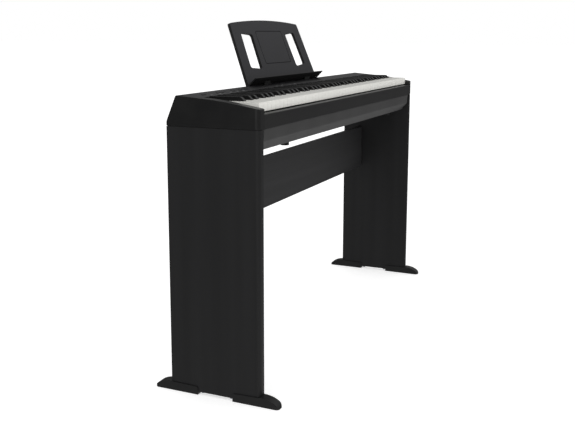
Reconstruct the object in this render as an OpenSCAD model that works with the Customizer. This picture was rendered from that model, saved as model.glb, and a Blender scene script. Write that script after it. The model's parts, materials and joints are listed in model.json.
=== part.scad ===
// Digital piano on a furniture stand: slim 88-key instrument, two side boards on
// plastic feet, a back board and a lift-off music rest.
// X runs from the bass end to the treble end, Y from the player to the back,
// Z up. The origin is on the floor under the middle of the piano.

/* [Case] */
// Overall width over the end blocks
case_w = 1284; // [1200:2:1600]
// Depth of the end blocks and side boards
case_d = 250; // [240:2:320]
// Height of the control panel above the floor
top_z = 751; // [600:2:950]
// Thickness of each end block, beside the keys
block_w = 30; // [26:1:50]
// Height of the case above the side boards
upper_h = 75; // [71:1:100]
// Height of the tub that hangs between the side boards
tub_h = 55; // [45:1:90]
// Wall of the moulded case
wall = 3; // [2.4:0.2:4]
// Width of the control panel, from its front lip to its back edge
panel_d = 55.6; // [46:0.2:70]
// Radius of the upright outer corners at the front
corner_r = 11; // [4:0.5:11]

/* [Stand] */
// Thickness of the side boards
board_t = 22; // [22:0.5:26]
// Thickness of the back board
back_t = 16; // [12:0.5:22]
// Height of the back board
back_h = 148; // [100:2:300]
// Gap between the tub and the top of the back board
back_gap = 71; // [40:2:150]
// How far a foot reaches past the side board, front and back
foot_reach = 49; // [30:1:70]
// Height of a foot at the end of its side board
foot_h = 24.5; // [22:0.5:40]
// Thickness of the foot under the side board
sole_t = 8; // [6:0.5:12]

/* [Keys] */
// Spacing of the white keys
key_pitch = 23.5; // [22:0.1:24]
// Gap between two white keys
key_gap = 1; // [0.7:0.1:1.6]
// Length of white key that shows
key_l = 148; // [130:1:155]
// Length of black key that shows
black_l = 95; // [80:1:98]
// Height of a black key above the white ones
black_h = 10.5; // [8:0.5:12]
// Radius of the pivot rod
pivot_r = 2.5; // [2:0.25:4]
// Running clearance between a key and the pivot rod
pivot_fit = 0.06; // [0.02:0.01:0.1]

/* [Music rest] */
// Width of the back plate and its ledge, at the foot
rest_w = 508; // [340:2:700]
// Height of the back plate along its slope
rest_h = 188; // [120:1:260]
// Lean of the back plate from upright
rest_lean = 21; // [10:0.2:24]
// Depth of the ledge along its slope
ledge_l = 32; // [18:1:45]
// Clearance of the two tabs in their slots
tab_fit = 0.4; // [0.3:0.1:1]

/* [Buttons] */
// Length of a button
button_w = 15; // [8:0.5:22]
// Width of a button
button_d = 6; // [4:0.5:9]
// How far a button stands above the panel
button_proud = 1.2; // [0.8:0.1:2]
// Gap round a button
button_gap = 0.3; // [0.2:0.05:0.6]

/* [Hidden] */
$fn = 48;
eps = 0.01;
KEY_NAMES = ["c", "cs", "d", "ds", "e", "f", "fs", "g", "gs", "a", "as", "b"];
BUTTONS = ["power", "volume_down", "volume_up", "function", "song", "metronome",
    "piano_tone", "other_tone"];

// Colours
board_c = "#1d1d1f";
plastic_c = "#2b2b2d";
satin_c = "#3a3a3c";
metal_c = "#9a9da0";
rubber_c = "#18181a";
white_c = "#ecebe6";
black_c = "#121213";
pcb_c = "#1f4a33";
felt_c = "#7c1f24";

// Levels and places worked out from the sizes above
half_w = case_w / 2;
half_d = case_d / 2;
key_half = half_w - block_w;
seam_z = top_z - upper_h;
tub_z = seam_z - tub_h;
crest_d = 31;
panel_back = half_d - crest_d;
panel_front = panel_back - panel_d;
panel_drop = 5;
lip_z = top_z - panel_drop;
slope = atan(panel_drop / panel_d);
board_inset = 2.4;
board_out = half_w - board_inset;
board_in = board_out - board_t;
board_h = seam_z - sole_t;
slip_drop = 38;
slip_top = upper_h - slip_drop;

// Height of the panel's surface at a depth y
function panel_z(y) = top_z - (panel_back - y) * panel_drop / panel_d;

// ---------- Helpers ----------

// Extrudes an outline drawn in Y and Z along X, between two X values
module along_x(x0, x1) {
    translate([x0, 0, 0]) rotate([90, 0, 90]) linear_extrude(x1 - x0) children();
}

// Box between two opposite corners
module box(a, b) {
    translate(a) cube([b[0] - a[0], b[1] - a[1], b[2] - a[2]]);
}

// Outline of a rectangle with round corners, centred at the origin
module round_rect(w, d, r) {
    square([w - 2 * r, d], center = true);
    square([w, d - 2 * r], center = true);
    for (sx = [-1, 1], sy = [-1, 1]) translate([sx * (w / 2 - r), sy * (d / 2 - r)]) circle(r);
}

// Plan from front face y0 to the back, its front corner at x0 round with radius r
module board_plan(x0, x1, y0, r) {
    translate([x0, y0 + r]) square([x1 - x0, half_d - y0 - r]);
    if (r > 0) {
        translate([x0 + r, y0]) square([x1 - x0 - r, r + eps]);
        translate([x0 + r, y0 + r]) circle(r);
    }
}

// Copies a part on the left to the right end as well
module both_ends() {
    children();
    mirror([1, 0, 0]) children();
}

// ---------- Stand ----------

side_r = min(corner_r, board_t / 2) - 0.5;
back_y = 55;
back_top = tub_z - back_gap;
foot_screw_r = 2;
foot_screw_y = [40, 92];
screw_slack = 0.05;

// Side board on the left, with pilot holes for the screws of the feet
module left_board_shape() {
    difference() {
        translate([0, 0, sole_t]) linear_extrude(board_h)
            board_plan(-board_out, -board_in, -half_d, side_r);
        for (y = foot_screw_y, s = [-1, 1]) translate([-(board_out + board_in) / 2, s * y, sole_t - 1])
            cylinder(r = foot_screw_r + screw_slack, h = 26);
        for (z = bracket_z) translate([-board_in + 1, bracket_y + bracket_l / 2, z]) rotate([0, -90, 0])
            cylinder(r = foot_screw_r + screw_slack, h = 13);
        for (s = [-1, 1]) translate([-board_in + 1, s * mount_y, seam_z - mount_leg / 2]) rotate([0, -90, 0])
            cylinder(r = foot_screw_r + screw_slack, h = 13);
    }
}
module left_side_board() { color(board_c) left_board_shape(); }
module right_side_board() { color(board_c) mirror([1, 0, 0]) left_board_shape(); }

// Back board between the side boards, screwed to four corner brackets
bracket_l = 24;
bracket_t = 2;
bracket_y = back_y + back_t;
bracket_z = [back_top - 30, back_top - back_h + 30];
module back_board() {
    color(board_c) difference() {
        box([-board_in, back_y, back_top - back_h], [board_in, back_y + back_t, back_top]);
        for (z = bracket_z, s = [-1, 1]) translate([s * (board_in - bracket_l / 2), bracket_y + 1, z])
            rotate([90, 0, 0]) cylinder(r = foot_screw_r + screw_slack, h = back_t - 3);
    }
}
module corner_bracket(z) {
    difference() {
        union() {
            box([-board_in, bracket_y, z - 10], [-board_in + bracket_t, bracket_y + bracket_l, z + 10]);
            box([-board_in, bracket_y, z - 10], [-board_in + bracket_l, bracket_y + bracket_t, z + 10]);
        }
        translate([-board_in + bracket_l / 2, bracket_y - 1, z]) rotate([-90, 0, 0])
            cylinder(r = foot_screw_r + screw_slack, h = bracket_t + 2);
        translate([-board_in - 1, bracket_y + bracket_l / 2, z]) rotate([0, 90, 0])
            cylinder(r = foot_screw_r + screw_slack, h = bracket_t + 2);
    }
}
module board_brackets() { color(metal_c) both_ends() for (z = bracket_z) corner_bracket(z); }

// Pan-head screw pointing up, its head's underside at z = 0
module screw(len, head_r = 4, head_h = 2.4) {
    translate([0, 0, -head_h / 2]) cylinder(r = foot_screw_r, h = len + head_h / 2);
    translate([0, 0, -head_h]) difference() {
        cylinder(r = head_r, h = head_h);
        for (a = [0, 90]) rotate(a) translate([-head_r / 2, -0.5, -eps]) cube([head_r, 1, head_h / 3]);
    }
}
module board_screws() {
    color(metal_c) both_ends() for (z = bracket_z) {
        translate([-board_in + bracket_l / 2, bracket_y + bracket_t, z]) rotate([90, 0, 0]) screw(12);
        translate([-board_in + bracket_t, bracket_y + bracket_l / 2, z]) rotate([0, -90, 0]) screw(12);
    }
}

// Foot: a moulded shoe round the bottom corner of the side board
foot_lip = 2;
foot_in = 2.5;
pad_t = 1.5;
pad_r = 8;
foot_rise = 0.5;
foot_power = 1.9;
foot_start = 49;
foot_tip = half_d + foot_reach;
flange_h = foot_h - 3;
tip_r = 9;
screw_sink = 5;
shoe_fit = 0.1;
foot_curve = [for (i = [0:16]) let (u = sin(i * 90 / 16))
    [-half_d - foot_reach * u, max(foot_rise, foot_h * pow(1 - pow(u, foot_power), 1 / foot_power))]];
pad_y = [(foot_screw_y[0] + foot_screw_y[1]) / 2, half_d + foot_reach / 2];
module foot_shape(round_r) {
    x0 = -board_out - foot_lip;
    x1 = -board_in + foot_in;
    difference() {
        intersection() {
            along_x(x0, x1) polygon(concat(
                [[-foot_start, foot_rise], [-foot_start, flange_h - 3], [-foot_start - 3, flange_h],
                 [-half_d + 4, flange_h + 1.5]], foot_curve));
            linear_extrude(60) union() {
                translate([x0, -foot_tip + tip_r]) square([x1 - x0, foot_tip]);
                translate([x0 + tip_r, -foot_tip]) square([x1 - x0 - 2 * tip_r, tip_r + eps]);
                for (x = [x0 + tip_r, x1 - tip_r]) translate([x, -foot_tip + tip_r]) circle(tip_r);
            }
        }
        translate([0, 0, sole_t]) linear_extrude(60)
            board_plan(-board_out - shoe_fit, -board_in + shoe_fit, -half_d - shoe_fit, round_r);
        for (y = foot_screw_y) translate([-(board_out + board_in) / 2, -y, 0]) {
            cylinder(r = foot_screw_r + screw_slack, h = 20);
            cylinder(r = 4.5, h = screw_sink);
        }
        for (y = pad_y) translate([-(board_out + board_in) / 2, -y, 0]) cylinder(r = pad_r + shoe_fit, h = pad_t);
    }
}
module left_front_foot() { color(rubber_c) foot_shape(side_r); }
module left_rear_foot() { color(rubber_c) mirror([0, 1, 0]) foot_shape(0); }
module right_front_foot() { color(rubber_c) mirror([1, 0, 0]) foot_shape(side_r); }
module right_rear_foot() { color(rubber_c) mirror([1, 0, 0]) mirror([0, 1, 0]) foot_shape(0); }
module foot_pads() {
    color(rubber_c) both_ends() for (y = pad_y, s = [-1, 1])
        translate([-(board_out + board_in) / 2, s * y, 0]) cylinder(r = pad_r, h = pad_t);
}
module foot_screws() {
    color(metal_c) both_ends() for (y = foot_screw_y, s = [-1, 1])
        translate([-(board_out + board_in) / 2, s * y, screw_sink]) screw(24);
}

// Angle bracket at the top of each side board, and the thumb screw that goes up
// through it into the case
mount_y = 100;
mount_leg = 18;
mount_w = 20;
mount_x = board_in - 13;
module case_brackets() {
    color(metal_c) both_ends() for (s = [-1, 1]) difference() {
        union() {
            box([-board_in, s * mount_y - mount_w / 2, seam_z - mount_leg],
                [-board_in + bracket_t, s * mount_y + mount_w / 2, seam_z]);
            box([-board_in, s * mount_y - mount_w / 2, seam_z - bracket_t],
                [-mount_x + 4, s * mount_y + mount_w / 2, seam_z]);
        }
        translate([-mount_x, s * mount_y, seam_z - bracket_t - 1]) cylinder(r = 2 + screw_slack, h = 5);
        translate([-board_in - 1, s * mount_y, seam_z - mount_leg / 2]) rotate([0, 90, 0])
            cylinder(r = foot_screw_r + screw_slack, h = bracket_t + 2);
    }
}
module thumb_screws() {
    color(plastic_c) both_ends() for (s = [-1, 1]) {
        translate([-mount_x, s * mount_y, seam_z - bracket_t]) {
            translate([0, 0, -1]) cylinder(r = 2, h = 11);
            translate([0, 0, -7]) cylinder(r = 4, h = 7);
        }
        translate([-board_in + bracket_t, s * mount_y, seam_z - mount_leg / 2]) rotate([0, -90, 0])
            screw(12, 2.8, 1.6);
    }
}

// ---------- Case ----------

// Back of the case: upright, then a slope up to the crest of the panel
back_inset = 1.5;
case_back = half_d - back_inset;
crest = [[case_back, seam_z], [case_back, seam_z + 11], [case_back - 1.9, seam_z + 17],
         [panel_back + 4.2, top_z - 3.4], [panel_back + 2.6, top_z - 0.9], [panel_back, top_z]];

// Side outline of an end block: behind the keys it follows the panel, then it
// falls towards the player. A shallow step leaves a shadow line above the side board
shadow_h = 1.6;
shadow_d = 3.6;
fall_y = [panel_front - 9, panel_front - 36, -38, -77, -half_d + 3, -half_d];
fall_z = [5.4, 7.3, 11.7, 18.1, 25.6, 27.6];
block_outline = concat([[-half_d, seam_z]], crest, [for (i = [0:5]) [fall_y[i], top_z - fall_z[i]]]);
module end_block_shape() {
    difference() {
        intersection() {
            along_x(-half_w, -key_half) polygon(block_outline);
            linear_extrude(top_z + 1) union() {
                translate([-half_w, -half_d + corner_r]) square([block_w, case_d]);
                translate([-half_w + corner_r, -half_d]) square([block_w - corner_r, corner_r + eps]);
                translate([-half_w + corner_r, -half_d + corner_r]) circle(corner_r);
            }
        }
        translate([0, 0, seam_z - 1]) linear_extrude(1 + shadow_h) difference() {
            translate([-half_w - 1, -half_d - 1]) square([block_w, case_d]);
            translate([-half_w + shadow_d, -half_d + shadow_d]) square([block_w, case_d]);
        }
        box([-half_w + 4, -half_d + 20, seam_z + 4], [-key_half + 1, panel_back - 20, seam_z + 38]);
        translate([-key_half - rod_seat, pivot_y, pivot_z]) rotate([0, 90, 0])
            cylinder(r = pivot_r + 0.02, h = rod_seat + 1);
    }
}
module left_end_block() { color(satin_c) end_block_shape(); }
module right_end_block() { color(satin_c) mirror([1, 0, 0]) end_block_shape(); }

// Tabs of the music rest stand in two slots behind the panel's middle
tab_x = 150;
tab_w = 40;
tab_t = 3;
tab_set = 8;
tab_y = panel_back - tab_set;
function button_x(i) = i < 6 ? -566 + [0, 74, 102, 154, 195, 233][i] : -207 + 100 * (i - 6);
button_set = 24;
button_y = panel_front + button_set;

// Frame in the plane of the control panel
module on_panel(y) {
    translate([0, y, panel_z(y)]) rotate([slope, 0, 0]) children();
}

// Moulded cover: back wall, sloping back, control panel and front lip
module top_cover() {
    color(satin_c) difference() {
        along_x(-key_half, key_half) polygon(concat(crest, [
            [panel_front, lip_z], [panel_front, lip_z - 6], [panel_front + wall, lip_z - 6],
            [panel_front + wall, lip_z - wall + 0.2], [panel_back - 0.2, top_z - wall],
            [panel_back + 4.2 - wall, top_z - 1.6 - wall], [case_back - 1.9 - wall, seam_z + 15.8],
            [case_back - wall, seam_z + 10.6], [case_back - wall, seam_z]]));
        for (i = [0:7]) translate([button_x(i), 0, 0]) on_panel(button_y)
            cube([button_w + 2 * button_gap, button_d + 2 * button_gap, 20], center = true);
        for (s = [-1, 1]) translate([s * tab_x, tab_y, top_z])
            cube([tab_w + 2 * tab_fit, tab_t + 2 * tab_fit, 20], center = true);
    }
}

// Strip in front of the keys
slip_d = 14.2;
module key_slip() {
    z = seam_z + slip_top;
    color(satin_c) along_x(-key_half, key_half) polygon([
        [-half_d, seam_z], [-half_d, z - 4], [-half_d + 1, z - 2], [-half_d + 3, z - 1],
        [-half_d + slip_d, z], [-half_d + slip_d, z - wall], [-half_d + wall, z - wall - 1.5],
        [-half_d + wall, seam_z]]);
}

// Tub below the seam: an upright upper band, then a lower band that leans in and
// rolls under. Its ends stand clear of the side boards
tub_gap = 8;
tub_half = board_in - tub_gap;
tub_r = 6;
band_h = 29;
tub_break = tub_h - band_h;
tub_lean = 12;
tub_roll = 9;
function tub_side(inset) = [for (p = [
        [half_d - 2, tub_h], [half_d - 4.5, tub_break + 2], [half_d - 6, tub_break - 2],
        [half_d - 6 - tub_lean, tub_roll], [half_d - 8.5 - tub_lean, tub_roll * 0.45],
        [half_d - 12.5 - tub_lean, tub_roll * 0.12], [half_d - 17 - tub_lean, 0]])
    [p[0] - inset, tub_z + max(p[1], inset)]];
function both_sides(pts) = concat(pts, [for (i = [len(pts) - 1:-1:0]) [-pts[i][0], pts[i][1]]]);
module tub_solid(inset) {
    intersection() {
        along_x(-tub_half + inset, tub_half - inset) polygon(both_sides(tub_side(inset)));
        linear_extrude(top_z) round_rect(2 * (tub_half - inset), case_d - 4 - 2 * inset, tub_r - inset);
    }
}
// Upright channel in each end of the tub that leaves room for a thumb screw
channel_w = mount_w + 1.2;
channel_x = mount_x - 4.8;
module channels(grow) {
    for (sx = [-1, 1], sy = [-1, 1]) scale([sx, sy, 1])
        box([channel_x - grow, mount_y - channel_w / 2 - grow, tub_z - 1],
            [board_in, mount_y + channel_w / 2 + grow, seam_z]);
}
case_screw_x = [-540, -320, -110, 110, 320, 540];
case_screw_y = 70;
speaker_x = 400;
speaker_y = -20;
speaker_r = 46;
jack_z = seam_z - 16;
jack_x = [-500, -465, -430, -385];
module lower_case() {
    flange = key_half - 0.1;
    color(plastic_c) difference() {
        union() {
            tub_solid(0);
            box([-flange, -half_d + wall + 0.1, seam_z], [flange, case_back - wall - 0.1, seam_z + wall]);
            for (sx = [-1, 1], sy = [-1, 1]) translate([sx * mount_x, sy * mount_y, seam_z])
                cylinder(r = 4.9, h = 12);
        }
        difference() {
            tub_solid(wall);
            channels(wall);
        }
        channels(0);
        box([-tub_half + 20, -half_d + 22, seam_z - 1], [tub_half - 20, half_d - 22, seam_z + wall + 1]);
        for (sx = [-1, 1], sy = [-1, 1]) translate([sx * mount_x, sy * mount_y, seam_z - 1])
            cylinder(r = 2 + screw_slack, h = 12);
        for (s = [-1, 1]) translate([s * speaker_x, speaker_y, tub_z - 1]) cylinder(r = speaker_r, h = wall + 2);
        for (i = [0:3]) box([jack_x[i] - 7, half_d - 20, jack_z - 7], [jack_x[i] + 7, half_d, jack_z + 7]);
        for (x = case_screw_x, s = [-1, 1]) translate([x, s * case_screw_y, tub_z - 1])
            cylinder(r = foot_screw_r + screw_slack, h = wall + 2);
    }
}

// Rubber feet under the tub, for use without the stand
case_foot_x = [-400, 480];
case_foot_y = half_d - 43;
case_foot_h = 9;
module case_feet() {
    color(rubber_c) for (x = case_foot_x, s = [-1, 1]) translate([x, s * case_foot_y, tub_z - case_foot_h])
        cylinder(r = 11, h = case_foot_h);
}
module case_screws() {
    color(metal_c) for (x = case_screw_x, s = [-1, 1]) translate([x, s * case_screw_y, tub_z])
        screw(wall + 16, 3.5, 1.8);
}

// ---------- Key action ----------

key_drop = 13;
key_top = top_z - key_drop;
key_set = 15;
key_front = -half_d + key_set;
key_back = key_front + key_l;
pivot_y = panel_back - 2;
rod_seat = 5;
key_dip = 10;
pivot_drop = 20;
pivot_z = key_top - pivot_drop;
white_w = key_pitch - key_gap;
key_lip = 22;
whites = 52;
keys_x0 = -whites * key_pitch / 2;
black_top_w = 9.5;
black_foot_w = 11;
black_front = key_front + key_l + 1 - black_l - 5;

// White keys by number, 0 = lowest A. A letter's place in its octave, C = 0
function letter(n) = (n + 5) % 7;
function white_x(n) = keys_x0 + (n + 0.5) * key_pitch;
// Sideways place of the black key above white key n, measured from its right edge
function black_shift(n) = [-2.5, 2.5, 0, -3.5, 0, 3.5, 0][letter(n)];
function has_black(n) = letter(n) != 2 && letter(n) != 6 && n < whites - 1;
function black_x(n) = keys_x0 + (n + 1) * key_pitch + black_shift(n);
function tail_side(n, side) =
    side < 0 ? (n > 0 && has_black(n - 1)
        ? black_x(n - 1) + black_foot_w / 2 + key_gap : white_x(n) - white_w / 2)
             : (has_black(n) ? black_x(n) - black_foot_w / 2 - key_gap : white_x(n) + white_w / 2);

module pivot_bore() {
    translate([-half_w, pivot_y, pivot_z]) rotate([0, 90, 0]) cylinder(r = pivot_r + pivot_fit, h = case_w);
}

// White key: hollow below, with a narrow tail between the black keys
module white_key(n) {
    x0 = white_x(n) - white_w / 2;
    x1 = white_x(n) + white_w / 2;
    t0 = tail_side(n, -1);
    t1 = tail_side(n, 1);
    notch = black_front - key_gap;
    difference() {
        intersection() {
            along_x(x0, x1) polygon([
                [key_front, key_top - key_lip], [key_front, key_top - 1], [key_front + 1, key_top],
                [key_back + 2, key_top], [key_back + 12, key_top - 7], [pivot_y + 7, key_top - 13],
                [pivot_y + 7, key_top - 27], [pivot_y - 10, key_top - 27], [key_back, key_top - key_lip + 4],
                [key_front + 40, key_top - key_lip + 4]]);
            translate([0, 0, key_top - 60]) linear_extrude(80) polygon([
                [x0, key_front], [x1, key_front], [x1, notch], [t1, notch], [t1, half_d],
                [t0, half_d], [t0, notch], [x0, notch]]);
        }
        box([max(x0, t0) + 2, key_front + 3, key_top - 60], [min(x1, t1) - 2, key_back - 4, key_top - wall]);
        pivot_bore();
    }
}

// Black key: tapered cap with a sloping front, on a narrow stem
module black_key(n) {
    x = black_x(n);
    top = key_top + black_h;
    difference() {
        intersection() {
            along_x(x - black_foot_w / 2, x + black_foot_w / 2) polygon([
                [black_front, key_top - 10], [black_front, key_top + 1], [black_front + 8.5, top - 1.6],
                [black_front + 11, top - 0.4], [black_front + 14, top], [key_back - 5, top - 0.8],
                [key_back - 4, key_top - 1], [key_back + 12, key_top - 7], [pivot_y + 7, key_top - 13],
                [pivot_y + 7, key_top - 27], [pivot_y - 10, key_top - 27], [key_back, key_top - 18],
                [black_front + 10, key_top - 18]]);
            translate([x, half_d, 0]) rotate([90, 0, 0]) linear_extrude(case_d) polygon([
                [-black_foot_w / 2, key_top - 40], [black_foot_w / 2, key_top - 40],
                [black_foot_w / 2, key_top], [black_top_w / 2, top - 0.8], [black_top_w / 2 - 0.8, top],
                [-black_top_w / 2 + 0.8, top], [-black_top_w / 2, top - 0.8], [-black_foot_w / 2, key_top]]);
        }
        box([x - black_foot_w / 2 + 1.8, black_front + 3, key_top - 60],
            [x + black_foot_w / 2 - 1.8, key_back - 12, key_top - wall]);
        pivot_bore();
    }
}

// Groups of keys: bass A0 to B2, tenor C3 to B3, middle C4 to B4 one by one, the rest alto
middle = 23;
module white_group(a, b) { color(white_c) for (n = [a:b]) white_key(n); }
module black_group(a, b) { color(black_c) for (n = [a:b]) if (has_black(n)) black_key(n); }

// Steel rod that all the keys turn on
module pivot_rod() {
    color(metal_c) translate([-key_half - rod_seat + 0.2, pivot_y, pivot_z]) rotate([0, 90, 0])
        cylinder(r = pivot_r, h = 2 * (key_half + rod_seat - 0.2));
}

// Moulded frame: a floor plate on round legs, with the front rail that stops the keys
frame_z = seam_z + wall + 1;
frame_half = key_half - 14;
felt_t = 2;
rail_z = key_top - key_lip - key_dip - felt_t + 0.5;
module key_frame() {
    color(plastic_c) difference() {
        union() {
            along_x(-frame_half, frame_half) polygon([
                [key_front + 8, frame_z], [half_d - 8, frame_z], [half_d - 8, frame_z + 4],
                [key_front + 14, frame_z + 4], [key_front + 14, rail_z], [key_front + 8, rail_z]]);
            for (x = case_screw_x, s = [-1, 1]) translate([x, s * case_screw_y, tub_z + wall])
                cylinder(r = 5, h = frame_z - tub_z - wall + 1);
        }
        for (s = [-1, 1]) translate([s * speaker_x, speaker_y, frame_z - 1]) cylinder(r = speaker_r, h = 8);
        for (x = case_screw_x, s = [-1, 1]) translate([x, s * case_screw_y, tub_z])
            cylinder(r = foot_screw_r + screw_slack, h = wall + 20);
    }
}
// Felt strip on the front rail that stops the keys
module key_felt() {
    color(felt_c) box([-frame_half, key_front + 8, rail_z], [frame_half, key_front + 14, rail_z + felt_t]);
}
// Contact strips below the keys, behind the front rail
module contact_board() {
    color(pcb_c) for (i = [0:2]) translate([(i - 1) * 400 - 195, 34, frame_z + 4]) {
        cube([390, 26, 1.6]);
        for (k = [0:15]) translate([12 + k * 24, 8, 1.6]) cylinder(r = 4, h = 3);
    }
}
module main_board() {
    color(pcb_c) translate([-300, 0, tub_z + wall]) difference() {
        union() {
            translate([0, 0, 6]) cube([170, 84, 1.6]);
            for (x = [8, 162], y = [8, 76]) translate([x, y, 0]) cylinder(r = 4, h = 6 + eps);
            translate([40, 30, 7.6]) cube([28, 28, 3]);
            translate([90, 36, 7.6]) cube([20, 14, 2.4]);
            for (x = [124:14:152]) translate([x, 30, 7.6]) cylinder(r = 5, h = 12);
        }
        for (x = [8, 162], y = [8, 76]) translate([x, y, -1]) cylinder(r = 1.5, h = 12);
    }
}

// Loudspeakers facing down behind grilles in the tub's floor
module speaker() {
    translate([0, 0, tub_z + wall + 4]) difference() {
        union() {
            rotate_extrude() polygon([[speaker_r + 8, 0], [speaker_r + 8, 3], [speaker_r - 8, 3], [22, 22],
                [22, 24], [0, 24], [0, 20], [19, 20], [speaker_r - 4, 0]]);
            translate([0, 0, 23.9]) cylinder(r = 27, h = 11);
        }
        for (a = [45:90:315]) rotate(a) translate([speaker_r + 4, 0, -1]) cylinder(r = 1.6, h = 5);
    }
}
module left_speaker() { color(plastic_c) translate([-speaker_x, speaker_y, 0]) speaker(); }
module right_speaker() { color(plastic_c) translate([speaker_x, speaker_y, 0]) speaker(); }
module speaker_grilles() {
    color(plastic_c) for (s = [-1, 1]) translate([s * speaker_x, speaker_y, tub_z]) difference() {
        union() {
            cylinder(r = speaker_r - 0.1, h = wall);
            translate([0, 0, wall]) cylinder(r = speaker_r + 5, h = 2);
        }
        for (i = [-5:5]) let (h = sqrt(pow(speaker_r - 5, 2) - pow(i * 7.5, 2)))
            translate([-h, i * 7.5 - 1.6, -1]) cube([2 * h, 3.2, wall + 4]);
    }
}

// Sockets in the back wall of the tub, each a block with its own bore
jack_face = half_d - 3.5;
jack_depth = 18;
module jack_block(i, r) {
    difference() {
        box([jack_x[i] - 6.9, jack_face - jack_depth, jack_z - 6.9], [jack_x[i] + 6.9, jack_face, jack_z + 6.9]);
        translate([jack_x[i], jack_face + 1, jack_z]) rotate([90, 0, 0]) cylinder(r = r, h = 15);
    }
}
module power_jack() { color(black_c) jack_block(0, 2.8); }
module pedal_jack() { color(black_c) jack_block(1, 3.2); }
module phones_jack() { color(black_c) jack_block(2, 1.8); }
module usb_socket() {
    color(metal_c) difference() {
        box([jack_x[3] - 6.9, jack_face - jack_depth, jack_z - 6.9], [jack_x[3] + 6.9, jack_face, jack_z + 6.9]);
        box([jack_x[3] - 6, jack_face - 14, jack_z - 5.5], [jack_x[3] + 6, jack_face + 1, jack_z + 5.5]);
    }
}

// ---------- Buttons ----------

module button(i) {
    color(plastic_c) translate([button_x(i), 0, 0]) on_panel(button_y)
        translate([0, 0, button_proud - 4.5]) union() {
            translate([-button_w / 2, -button_d / 2, 0]) cube([button_w, button_d, 4.5]);
            translate([-button_w / 2 - 1, -button_d / 2 - 1, -1.5]) cube([button_w + 2, button_d + 2, 1.5 + eps]);
        }
}

// ---------- Music rest ----------

rest_y = panel_back + 1;
plate_t = 3;
rim_d = 8.5;
rest_crown = 10;
rest_taper = 16;
rest_r = 7;
ledge_rise = 43;
window_x = 158;
window_w = 72;
window_s = [49, 156];
window_turn = atan(rest_taper / rest_h);
groove_w = 186;
groove_s = [60, 164];
groove_l = 2;
groove_depth = 1.8;

// Back plate's outline, drawn across and up its slope, shrunk by an inset
function rest_outline(inset) = let (
        b = rest_w / 2 - inset,
        t = b - rest_taper,
        h = rest_h - inset)
    concat([[-b, inset], [b, inset]],
        [for (a = [0:30:90]) [t - rest_r + rest_r * cos(a), h - rest_r + rest_r * sin(a)]],
        [for (i = [1:11]) let (x = (t - rest_r) * (1 - i / 6))
            [x, h + rest_crown * (1 - pow(x / (t - rest_r), 2))]],
        [for (a = [90:30:180]) [-t + rest_r + rest_r * cos(a), h - rest_r + rest_r * sin(a)]]);

// Frame whose plane is the front of the back plate, its depth going backwards
module on_rest() {
    translate([0, rest_y, top_z + 0.1]) rotate([90 - rest_lean, 0, 0]) mirror([0, 0, 1]) children();
}
module rest_window(grow, depth) {
    for (s = [-1, 1]) translate([s * window_x, (window_s[0] + window_s[1]) / 2, -1]) rotate(s * window_turn)
        linear_extrude(depth + 1) round_rect(window_w + 2 * grow, window_s[1] - window_s[0] + 2 * grow, 8 + grow);
}
// The back of the plate is hollow inside a rim
module rest_plate() {
    difference() {
        linear_extrude(rim_d) polygon(rest_outline(0));
        difference() {
            translate([0, 0, plate_t]) linear_extrude(20) polygon(rest_outline(plate_t));
            rest_window(plate_t, 30);
        }
        rest_window(0, 30);
        translate([0, (groove_s[0] + groove_s[1]) / 2, -1]) linear_extrude(groove_depth + 1) difference() {
            round_rect(groove_w, groove_s[1] - groove_s[0], 8);
            round_rect(groove_w - 2 * groove_l, groove_s[1] - groove_s[0] - 2 * groove_l, 8 - groove_l);
        }
    }
}
module music_rest() {
    dy = ledge_l * cos(ledge_rise);
    dz = ledge_l * sin(ledge_rise);
    z0 = top_z + 0.1;
    color(plastic_c) union() {
        on_rest() rest_plate();
        along_x(-rest_w / 2, rest_w / 2) polygon([[rest_y - 2, z0], [rest_y + 5, z0], [rest_y + 6, z0 + 4],
            [rest_y, z0 + 4], [rest_y - dy + 2.2, z0 + dz + 1.6], [rest_y - dy, z0 + dz]]);
        for (s = [-1, 1]) translate([s * tab_x, tab_y, 0])
            box([-tab_w / 2, -tab_t / 2, top_z - 16],
                [tab_w / 2, tab_t / 2, z0 + (rest_y - tab_y) * tan(ledge_rise) + 1]);
    }
}

// ---------- Assembly ----------

left_side_board();
right_side_board();
back_board();
board_brackets();
board_screws();
left_front_foot();
left_rear_foot();
right_front_foot();
right_rear_foot();
foot_pads();
foot_screws();
case_brackets();
thumb_screws();
left_end_block();
right_end_block();
top_cover();
key_slip();
lower_case();
case_feet();
case_screws();
key_frame();
pivot_rod();
key_felt();
contact_board();
main_board();
left_speaker();
right_speaker();
speaker_grilles();
power_jack();
pedal_jack();
phones_jack();
usb_socket();
music_rest();
for (i = [0:7]) button(i);
for (i = [0, 2, 4, 5, 7, 9, 11]) color(white_c) white_key(middle + (i + (i > 4 ? 1 : 0)) / 2);
for (i = [1, 3, 6, 8, 10]) color(black_c) black_key(middle + floor((i - (i > 4 ? 0 : 1)) / 2));
white_group(0, middle - 8);  // white_keys_bass
black_group(0, middle - 8);  // black_keys_bass
white_group(middle - 7, middle - 1);  // white_keys_tenor
black_group(middle - 7, middle - 1);  // black_keys_tenor
white_group(middle + 7, whites - 1);  // white_keys_alto
black_group(middle + 7, whites - 1);  // black_keys_alto
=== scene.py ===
# %% [markdown]
# # A slim digital piano on its furniture stand
#
# The piano is a long black moulded case with a full keyboard. It rests on two
# side boards that stand in plastic feet, with a back board between them. Its
# music rest simply stands in two slots and lifts off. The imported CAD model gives
# every size, place and joint, and this file gives the looks. Everything is in
# metres, in the frame of the CAD model, so a new piece goes exactly where the
# CAD says and rides on the CAD body that carries it.

# %% Load the frame
import json
import math

import bmesh
import bpy
from mathutils import Matrix, Quaternion, Vector


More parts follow.
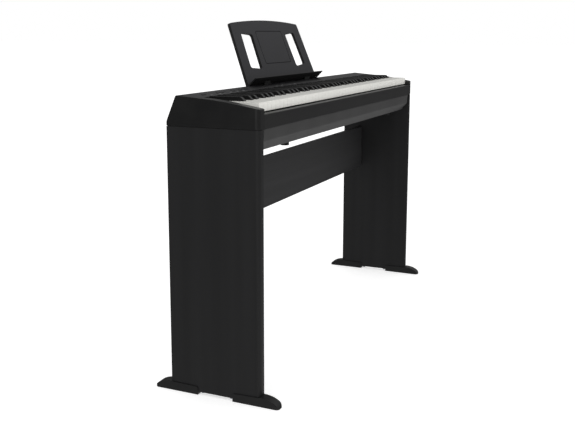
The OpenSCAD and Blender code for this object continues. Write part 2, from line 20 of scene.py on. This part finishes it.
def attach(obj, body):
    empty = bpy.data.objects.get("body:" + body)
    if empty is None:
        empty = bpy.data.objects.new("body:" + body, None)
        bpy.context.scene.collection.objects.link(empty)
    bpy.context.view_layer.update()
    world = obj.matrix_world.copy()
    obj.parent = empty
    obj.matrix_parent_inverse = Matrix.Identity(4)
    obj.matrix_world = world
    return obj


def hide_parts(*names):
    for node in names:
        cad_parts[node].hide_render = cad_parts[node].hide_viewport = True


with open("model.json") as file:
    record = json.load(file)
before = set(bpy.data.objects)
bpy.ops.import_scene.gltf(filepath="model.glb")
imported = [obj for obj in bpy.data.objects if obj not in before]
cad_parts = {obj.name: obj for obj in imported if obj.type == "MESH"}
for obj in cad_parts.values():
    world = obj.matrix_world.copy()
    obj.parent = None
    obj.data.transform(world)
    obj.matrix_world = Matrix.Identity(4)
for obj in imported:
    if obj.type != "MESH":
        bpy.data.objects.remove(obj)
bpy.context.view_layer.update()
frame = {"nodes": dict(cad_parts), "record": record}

MM = 0.001

# %% [markdown]
# ## Camera
#
# A product view of such a piano is taken from beside the bass end, at about the
# height of the music rest. The camera here looks along the keyboard, a little
# towards the back and slightly down. It is made first, because every later choice
# of finish is judged through it. The small vertical shift keeps the upright edges
# upright while the object stays in the middle of the picture.

# %% Camera
CAMERA_PLACE = (-2.3538, -0.9561, 0.8987)
CAMERA_AIM = (0.90078, 0.40178, -0.16483)
CAMERA_ROLL = 0.07
camera_data = bpy.data.cameras.new("camera")
camera_data.lens = 52.12
camera_data.sensor_width = 36
camera_data.shift_x = 0.0031
camera_data.shift_y = -0.0758
camera = bpy.data.objects.new("camera", camera_data)
camera.location = CAMERA_PLACE
level = Vector(CAMERA_AIM).to_track_quat("-Z", "Y")
camera.rotation_euler = (level @ Quaternion((0, 0, 1), math.radians(CAMERA_ROLL))).to_euler()
bpy.context.collection.objects.link(camera)
bpy.context.scene.camera = camera
bpy.context.scene.view_settings.view_transform = "Standard"
print("camera", CAMERA_PLACE, "lens", camera_data.lens)

# %% [markdown]
# ## Helpers for node materials
#
# Colours are chosen as the eye names them, as sRGB hex values, but a shader works
# in linear light, so one function converts them. Another adds a node, fills in its
# settings and makes its links, which keeps each material a short list of what its
# surface is made of.

# %% Colour and node helpers
def linear(hex_colour):
    channels = [int(hex_colour[i:i + 2], 16) / 255 for i in (1, 3, 5)]
    light = [c / 12.92 if c <= 0.04045 else ((c + 0.055) / 1.055) ** 2.4 for c in channels]
    return (*light, 1)


def add(tree, kind, inputs=(), **settings):
    node = tree.nodes.new(kind)
    for name, value in settings.items():
        setattr(node, name, value)
    for name, value in dict(inputs).items():
        socket = node.inputs[name]
        if isinstance(value, bpy.types.NodeSocket):
            tree.links.new(value, socket)
        else:
            socket.default_value = value
    return node


def per_mm(size):
    return 1 / (size * MM)


def start_material(name):
    material = bpy.data.materials.new(name)
    material.use_nodes = True
    tree = material.node_tree
    tree.nodes.clear()
    return material, tree


def end_material(tree, inputs):
    shader = add(tree, "ShaderNodeBsdfPrincipled", inputs)
    add(tree, "ShaderNodeOutputMaterial", {"Surface": shader.outputs[0]})


def stretched(tree, scale):
    place = add(tree, "ShaderNodeTexCoord")
    return add(tree, "ShaderNodeMapping", {"Vector": place.outputs["Object"], "Scale": scale}).outputs[0]


def ramp(tree, factor, low, high, stops=(0.35, 0.65)):
    node = add(tree, "ShaderNodeValToRGB", {"Fac": factor})
    for element, stop, colour in zip(node.color_ramp.elements, stops, (low, high)):
        element.position = stop
        element.color = linear(colour)
    return node.outputs["Color"]


def spread(tree, factor, low, high):
    return add(tree, "ShaderNodeMapRange", {"Value": factor, "To Min": low, "To Max": high}).outputs[0]


def bump(tree, height, depth_mm, strength):
    return add(tree, "ShaderNodeBump",
               {"Height": height, "Distance": depth_mm * MM, "Strength": strength}).outputs[0]


# %% [markdown]
# ## Moulded plastics
#
# The case, the feet, the tub and the music rest are injection-moulded ABS. The
# steel mould is etched, so the plastic has a fine pebbled grain that scatters
# reflections, and large flat walls show a faint cloudiness where the melt flowed.
# The real grain is about a third of a millimetre across, and it is drawn at nearly
# a millimetre so that it shows. One function makes all these plastics, because
# they differ only in their base colour, gloss and grain. The top cover and the tub
# are the same black plastic as the case; their lighter tones are painted reflection.

# %% Moulded ABS
def moulded_abs(name, dark, light, gloss, grain_mm=0.9, grain_depth=0.05, strength=0.35):
    material, tree = start_material(name)
    place = stretched(tree, (1, 1, 1))
    cloud = add(tree, "ShaderNodeTexNoise", {"Vector": place, "Scale": per_mm(70), "Detail": 3.0})
    grain = add(tree, "ShaderNodeTexVoronoi", {"Vector": place, "Scale": per_mm(grain_mm)},
                feature="SMOOTH_F1")
    end_material(tree, {
        "Base Color": ramp(tree, cloud.outputs[0], dark, light),
        "Roughness": spread(tree, cloud.outputs[0], gloss - 0.05, gloss + 0.05),
        "IOR": 1.53,
        "Normal": bump(tree, grain.outputs[0], grain_depth, strength)})
    return material


CASE_ABS = moulded_abs("case_abs", "#131314", "#171717", 0.4)
# Painted sheen: the top cover is the case's black plastic, given a lighter tone that stands in for its
# grazing reflection.
PANEL_ABS_PAINTED_SHEEN = moulded_abs("panel_abs_painted_sheen", "#1c1c1e", "#202022", 0.42)
BLOCK_ABS = moulded_abs("end_block_abs", "#0c0c0d", "#101010", 0.36)
# Painted reflection: the tub is black plastic, and its grey tone stands in for the white floor it mirrors.
TUB_ABS_PAINTED_REFLECTION = moulded_abs("tub_abs_painted_reflection", "#2f2f2f", "#353535", 0.5)
FOOT_ABS = moulded_abs("foot_abs", "#0e0e0f", "#121212", 0.48, grain_mm=1.2, grain_depth=0.08)
REST_ABS = moulded_abs("rest_abs", "#242428", "#28282c", 0.45)
# Painted shade: a near-black copy of the rest plastic for its walls, groove floor and ledge.
REST_PAINTED_SHADE_ABS = moulded_abs("rest_painted_shade_abs", "#0a0a0b", "#0e0e0f", 0.6)
INNER_ABS = moulded_abs("inner_abs", "#141416", "#19191b", 0.55)
BUTTON_ABS = moulded_abs("button_abs", "#1a1a1c", "#1f1f21", 0.38, grain_mm=0.7)
print("plastics", CASE_ABS.name, TUB_ABS_PAINTED_REFLECTION.name, REST_ABS.name)

# %% [markdown]
# ## Foil-faced board
#
# The stand is particle board wrapped in a black paper foil that is printed and
# embossed with wood pores. The pores are short shallow scratches along the grain,
# which runs upright on the side boards and lengthwise on the back board. A noise
# texture stretched a hundred times along the grain gives them.

# %% Black foil with pores
def foil_board(name, along, dark, light):
    material, tree = start_material(name)
    fine = [per_mm(1.1)] * 3
    fine[along] = per_mm(90)
    broad = [per_mm(30)] * 3
    broad[along] = per_mm(900)
    pores = add(tree, "ShaderNodeTexNoise", {"Vector": stretched(tree, fine), "Scale": 1.0, "Detail": 4.0,
                                             "Roughness": 0.6})
    figure = add(tree, "ShaderNodeTexNoise",
                 {"Vector": stretched(tree, broad), "Scale": 1.0, "Detail": 2.0})
    end_material(tree, {
        "Base Color": ramp(tree, figure.outputs[0], dark, light),
        "Roughness": spread(tree, pores.outputs[0], 0.45, 0.6),
        "IOR": 1.5,
        "Normal": bump(tree, pores.outputs[0], 0.12, 0.25)})
    return material


UPRIGHT_FOIL = foil_board("foil_upright_grain", 2, "#111112", "#151516")
LENGTH_FOIL = foil_board("foil_lengthwise_grain", 0, "#252526", "#2b2b2c")
print("foils", UPRIGHT_FOIL.name, LENGTH_FOIL.name)

# %% [markdown]
# ## Key tops
#
# White keys are moulded from a warm white acrylic compound that imitates ivory:
# slightly matt, with very faint streaks along the key, so fingers don't slip.
# Black keys imitate ebony and are duller, with finer lengthwise streaks. Both are
# the same recipe with other colours.

# %% Ivory-feel and ebony-feel
def key_top(name, dark, light, gloss, streak_mm, depth):
    material, tree = start_material(name)
    streaks = add(tree, "ShaderNodeTexNoise", {
        "Vector": stretched(tree, (per_mm(streak_mm), per_mm(streak_mm * 30), per_mm(streak_mm))),
        "Scale": 1.0, "Detail": 3.0})
    end_material(tree, {
        "Base Color": ramp(tree, streaks.outputs[0], dark, light, (0.3, 0.7)),
        "Roughness": spread(tree, streaks.outputs[0], gloss - 0.04, gloss + 0.06),
        "IOR": 1.49,
        "Normal": bump(tree, streaks.outputs[0], depth, 0.25)})
    return material


IVORY = key_top("ivory_feel_acrylic", "#efeee8", "#f6f5f0", 0.34, 1.2, 0.03)
EBONY = key_top("ebony_feel_abs", "#09090a", "#0d0d0e", 0.28, 0.8, 0.03)
print("keys", IVORY.name, EBONY.name)

# %% [markdown]
# ## Metals, rubber, felt, circuit board and print
#
# The fasteners and brackets are zinc-plated steel: a metal with a soft, slightly
# mottled shine. Rubber pads are almost black and dull. Felt is pressed wool, whose
# fibres catch the light at the edges. The circuit boards are glass fibre under a
# green lacquer with copper tracks. The button marks are white ink.

# %% Small finishes
def zinc_steel():
    material, tree = start_material("zinc_plated_steel")
    place = stretched(tree, (1, 1, 1))
    mottle = add(tree, "ShaderNodeTexNoise", {"Vector": place, "Scale": per_mm(3), "Detail": 4.0})
    end_material(tree, {
        "Base Color": ramp(tree, mottle.outputs[0], "#a9adb2", "#c6c9cc"),
        "Metallic": 1.0,
        "Roughness": spread(tree, mottle.outputs[0], 0.28, 0.45),
        "Normal": bump(tree, mottle.outputs[0], 0.02, 0.2)})
    return material


def speckled(name, dark, light, gloss, speck_mm, depth, sheen=0.0):
    material, tree = start_material(name)
    place = stretched(tree, (1, 1, 1))
    specks = add(tree, "ShaderNodeTexNoise", {"Vector": place, "Scale": per_mm(speck_mm), "Detail": 5.0})
    end_material(tree, {
        "Base Color": ramp(tree, specks.outputs[0], dark, light),
        "Roughness": gloss,
        "Sheen Weight": sheen,
        "Normal": bump(tree, specks.outputs[0], depth, 0.5)})
    return material


def lacquered_board():
    material, tree = start_material("lacquered_circuit_board")
    place = stretched(tree, (per_mm(2.5), per_mm(2.5), per_mm(2.5)))
    tracks = add(tree, "ShaderNodeTexBrick", {
        "Vector": place, "Scale": 1.0, "Color1": linear("#17442c"), "Color2": linear("#1b4d33"),
        "Mortar": linear("#2f7a4c"), "Mortar Size": 0.06, "Brick Width": 3.0, "Row Height": 0.7})
    end_material(tree, {
        "Base Color": tracks.outputs[0],
        "Roughness": 0.3,
        "IOR": 1.52,
        "Normal": bump(tree, tracks.outputs[1], 0.05, 0.4)})
    return material


STEEL = zinc_steel()
RUBBER = speckled("natural_rubber", "#101011", "#161617", 0.8, 0.8, 0.08)
FELT = speckled("pressed_felt", "#5c1519", "#7a1e23", 0.95, 0.6, 0.3, sheen=0.4)
CIRCUIT = lacquered_board()
PAPER_CONE = speckled("paper_cone", "#1a1a1a", "#242423", 0.85, 1.2, 0.15)
INK = speckled("white_ink", "#a9a9aa", "#b6b6b8", 0.6, 0.5, 0.01)
print("small finishes", STEEL.name, FELT.name, CIRCUIT.name)

# %% [markdown]
# ## Helpers for meshes
#
# New pieces start from a few points or from a copy of a CAD node, and are shaped
# by bmesh operators. A real moulded or routed edge is never sharp, so the helper
# that refines a CAD copy merges its loose triangles, dissolves the flat ones into
# whole faces and then rounds every hard edge. Flat faces keep flat shading through
# a weighted-normal modifier, and only the roundings look round.

# %% Mesh helpers
HARD_EDGE = math.radians(28)


def bevel_edges(mesh, edges, width, segments=2):
    bmesh.ops.bevel(mesh, geom=edges, offset=width, offset_type="OFFSET", segments=segments,
                    profile=0.5, affect="EDGES", material=-1, clamp_overlap=True)


def hard_edges(mesh, limit=HARD_EDGE):
    return [e for e in mesh.edges if len(e.link_faces) == 2 and e.calc_face_angle(0) > limit]


def finish_piece(name, mesh, material, body, nodes=()):
    bmesh.ops.recalc_face_normals(mesh, faces=mesh.faces)
    for face in mesh.faces:
        face.smooth = True
    for edge in hard_edges(mesh, math.radians(40)):
        edge.smooth = False
    data = bpy.data.meshes.new(name)
    mesh.to_mesh(data)
    mesh.free()
    data.materials.append(material)
    piece = bpy.data.objects.new(name, data)
    bpy.context.collection.objects.link(piece)
    weighted = piece.modifiers.new("weighted_normals", "WEIGHTED_NORMAL")
    weighted.keep_sharp = True
    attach(piece, body)
    if nodes:
        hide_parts(*nodes)
    return piece


def cad_copy(node):
    mesh = bmesh.new()
    mesh.from_mesh(frame["nodes"][node].data)
    bmesh.ops.remove_doubles(mesh, verts=mesh.verts, dist=0.005 * MM)
    bmesh.ops.dissolve_limit(mesh, angle_limit=math.radians(0.5), verts=mesh.verts, edges=mesh.edges)
    return mesh


def body_of_node(node):
    return next(b for b, names in frame["record"]["behaviour"]["bodies"].items() if node in names)


def slot_of_node(node):
    return next(s["material_slot"] for s in frame["record"]["subparts"] if s["node"] == node)


def refined(node, material, edge_mm, segments=2):
    mesh = cad_copy(node)
    bevel_edges(mesh, hard_edges(mesh), edge_mm * MM, segments)
    return finish_piece(node + "_skin", mesh, material, body_of_node(node), [node])


# %% [markdown]
# ## Stand boards
#
# Each side board is a 22 mm board whose front edge is rolled by post-forming, so
# foil wraps round it without a joint. The other edges are only eased. The copies of
# the CAD nodes already have the rolled front, and the bevel eases the rest.

# %% Stand boards
for side in ("left", "right"):
    refined(side + "_side_board", UPRIGHT_FOIL, 0.6)
refined("back_board", LENGTH_FOIL, 0.8)

# %% [markdown]
# ## Feet
#
# A foot is a shoe moulded round the bottom corner of the board. Its back rises in
# one smooth curve from the floor tip to the board.

# %% Feet
FEET = ("left_front", "left_rear", "right_front", "right_rear")
for corner in FEET:
    refined(corner + "_foot", FOOT_ABS, 1.2, segments=3)
print("feet", FEET)

# %% [markdown]
# ## Case
#
# End blocks, top cover, key slip and tub are separate mouldings that meet at fine
# seams. Rounding each one's own edges opens the seam to a small V, as on the real
# case, where it catches a thin dark line.

# %% Case mouldings
for side in ("left", "right"):
    refined(side + "_end_block", BLOCK_ABS, 1.2, segments=3)
# The top cover and the tub wear painted reflection: lighter tones of the black case plastic.
refined("top_cover", PANEL_ABS_PAINTED_SHEEN, 0.4)
refined("key_slip", CASE_ABS, 0.5)
refined("lower_case", TUB_ABS_PAINTED_REFLECTION, 0.8)

# %% [markdown]
# ## Music rest
#
# The rest is one moulding with a grained broad front. The thin walls that
# run back from it - the rim, the window walls and the narrow groove of the middle
# panel - and the ledge with its tabs get painted shade: a near-black copy of the
# same plastic that stands in for the shade on these walls, in the groove and on
# the ledge.

# %% Music rest
REST_FOOT = Vector((0, 0.095, 0.7511))
REST_LEAN = math.radians(21)
FACE_WAY = Vector((0, -math.cos(REST_LEAN), math.sin(REST_LEAN)))
LEDGE_TOP = 0.778
GROOVE_FLOOR = 1.2 * MM


# Picks the rest faces that get painted shade: the walls, the groove floor and the ledge.
def is_painted_shade_face(face):
    depth = (REST_FOOT - face.center).dot(FACE_WAY)
    if face.center.z < LEDGE_TOP:
        return face.center.y < REST_FOOT.y + 0.5 * MM
    if face.center.z < LEDGE_TOP + 7 * MM:
        return False
    facing = face.normal.dot(FACE_WAY)
    return facing < 0.9 or (facing > 0.98 and depth > GROOVE_FLOOR)


rest = refined("music_rest", REST_ABS, 0.5)
# The second material slot is painted shade on the picked faces.
rest.data.materials.append(REST_PAINTED_SHADE_ABS)
for face in rest.data.polygons:
    face.material_index = int(is_painted_shade_face(face))
painted_shade_count = sum(face.material_index for face in rest.data.polygons)
print("painted shade rest faces", painted_shade_count, "of", len(rest.data.polygons))

# %% [markdown]
# ## Keys
#
# Every key is moulded with softly rounded edges. Under a fingertip a sharp edge
# would be felt at once, and to the eye each white key shows a thin bright line
# beside a thin dark gap.

# %% Keys
KEY_LOOKS = {"white_key": (IVORY, 0.35), "black_key": (EBONY, 0.4)}
key_nodes = [name for name in frame["nodes"] if slot_of_node(name) in KEY_LOOKS]
for name in key_nodes:
    refined(name, *KEY_LOOKS[slot_of_node(name)])
print("keys refined", key_nodes)

# %% [markdown]
# ## Marks beside the buttons
#
# Small printed marks stand in front of the buttons, and here they are plain dashes.
# Screen-printed ink lies a few hundredths of a millimetre proud, so each dash is a
# thin slab that is half sunk into the panel and turned to the panel's slope.

# %% Button marks
def slab(mesh, centre, size, turn):
    made = bmesh.ops.create_cube(mesh, size=1.0)
    bmesh.ops.scale(mesh, vec=size, verts=made["verts"])
    bmesh.ops.rotate(mesh, cent=(0, 0, 0), matrix=Matrix.Rotation(turn, 3, "X"), verts=made["verts"])
    bmesh.ops.translate(mesh, vec=centre, verts=made["verts"])


MARK_X = [-0.543, -0.501, -0.475, -0.442, -0.404, -0.369, -0.157, -0.121, -0.066, -0.027]
MARK_L = 0.010
MARK_W = 1.6 * MM
MARK_Y = 0.052
PANEL_BACK = Vector((0, 0.094, 0.751))
PANEL_RISE = 5.0 / 55.6
mark_z = PANEL_BACK.z - (PANEL_BACK.y - MARK_Y) * PANEL_RISE
marks = bmesh.new()
for x in MARK_X:
    slab(marks, (x, MARK_Y, mark_z), (MARK_L, MARK_W, 0.1 * MM), math.atan(PANEL_RISE))
finish_piece("button_marks", marks, INK, "piano_and_stand")
print("marks", len(MARK_X))

# %% [markdown]
# ## Parts that keep their CAD shape
#
# Screws, brackets, sockets, loudspeakers, boards and buttons are right as the CAD
# model has them. Each one only needs the finish of what it is made of, and its CAD
# slot names that.

# %% Finishes of the other parts
FINISH = {
    "steel": STEEL, "rubber": RUBBER, "inner_plastic": INNER_ABS, "felt": FELT,
    "circuit_board": CIRCUIT, "speaker_cone": PAPER_CONE, "button_plastic": BUTTON_ABS,
    "white_key": IVORY, "black_key": EBONY, "board": UPRIGHT_FOIL, "case_plastic": CASE_ABS,
    "foot_plastic": FOOT_ABS, "rest_plastic": REST_ABS}
for name, node in frame["nodes"].items():
    node.data.materials.clear()
    node.data.materials.append(FINISH[slot_of_node(name)])
print("CAD nodes given a finish", len(frame["nodes"]))

# %% [markdown]
# ## Floor and light
#
# Black instruments are lit in a white tent: light comes from all round, so nothing
# throws a hard shadow and the white keys are equally bright on every side. A floor
# that glows a little keeps itself white under the piano. What the black surfaces
# mirror is a darker room, brighter towards the ceiling. Black screens round a
# studio table do the same: they keep black plastic black, while its upper edges
# catch the light. The world therefore answers three kinds of ray in three ways: the
# camera sees plain white, mirror-like rays see the darker room, and all others the
# tent.

# %% Floor
floor_mesh = bmesh.new()
bmesh.ops.create_grid(floor_mesh, x_segments=1, y_segments=1, size=60)
floor_data = bpy.data.meshes.new("floor")
floor_mesh.to_mesh(floor_data)
floor_mesh.free()
floor = bpy.data.objects.new("floor", floor_data)
bpy.context.collection.objects.link(floor)
floor_material, floor_tree = start_material("pale_floor")
end_material(floor_tree, {"Base Color": linear("#f4f4f4"), "Roughness": 1.0, "Specular IOR Level": 0.0,
                          "Emission Color": (1, 1, 1, 1), "Emission Strength": 0.55})
floor_data.materials.append(floor_material)
floor.visible_glossy = False

# %% [markdown]
# ## The white room
#
# The grey ramp below is the room as a mirror would see it, from straight down at
# its start to straight up at its end. It is darkest just under the horizon, where
# upright walls look, and grows brighter above it. The player's side is a little
# brighter than the back.

# %% Room
TENT = 0.74
world = bpy.data.worlds.new("white_room")
world.use_nodes = True
bpy.context.scene.world = world
world.cycles.sampling_method = "NONE"
room = world.node_tree
room.nodes.clear()
path = add(room, "ShaderNodeLightPath")
seen = add(room, "ShaderNodeBackground", {"Color": (1, 1, 1, 1), "Strength": 1.0})
tent = add(room, "ShaderNodeBackground", {"Color": (1, 1, 1, 1), "Strength": TENT})
way = add(room, "ShaderNodeSeparateXYZ", {"Vector": add(room, "ShaderNodeTexCoord").outputs["Generated"]})
height = add(room, "ShaderNodeMapRange", {"Value": way.outputs["Z"], "From Min": -1.0, "From Max": 1.0})
glow = add(room, "ShaderNodeValToRGB", {"Fac": height.outputs[0]})
for stop, level in ((0.22, 0.5), (0.34, 0.3), (0.41, 0.12), (0.46, 0.09),
                    (0.53, 0.10), (0.585, 0.11), (0.625, 0.26), (0.72, 0.42), (0.9, 0.6)):
    element = glow.color_ramp.elements.new(stop)
    element.color = (level, level, level, 1)
glow.color_ramp.elements[0].color = (0.5, 0.5, 0.5, 1)
glow.color_ramp.elements[-1].color = (0.8, 0.8, 0.8, 1)
sides = add(room, "ShaderNodeMapRange", {"Value": way.outputs["Y"], "From Min": -0.5, "From Max": 0.5,
                                         "To Min": 1.3, "To Max": 0.7})
mirrored = add(room, "ShaderNodeBackground", {"Color": glow.outputs["Color"], "Strength": sides.outputs[0]})
unseen = add(room, "ShaderNodeMixShader",
             {"Fac": path.outputs["Is Glossy Ray"], 1: tent.outputs[0], 2: mirrored.outputs[0]})
mixed = add(room, "ShaderNodeMixShader",
            {"Fac": path.outputs["Is Camera Ray"], 1: unseen.outputs[0], 2: seen.outputs[0]})
add(room, "ShaderNodeOutputWorld", {"Surface": mixed.outputs[0]})
print("tent", TENT)

# %% [markdown]
# ## Strip light
#
# A narrow soft strip beside the bass end draws a thin highlight down the rounded
# front corners, which would otherwise melt into the black sides.

# %% Strip light at the bass end
strip_data = bpy.data.lights.new("strip", "AREA")
strip_data.shape = "RECTANGLE"
strip_data.size = 0.35
strip_data.size_y = 2.4
strip_data.energy = 11
strip = bpy.data.objects.new("strip", strip_data)
strip.location = (-3.9, -0.5, 1.25)
strip.rotation_euler = Vector((1, 0.1, -0.1)).to_track_quat("-Z", "Z").to_euler()
strip.visible_camera = False
bpy.context.collection.objects.link(strip)
print("strip light", tuple(strip.location))
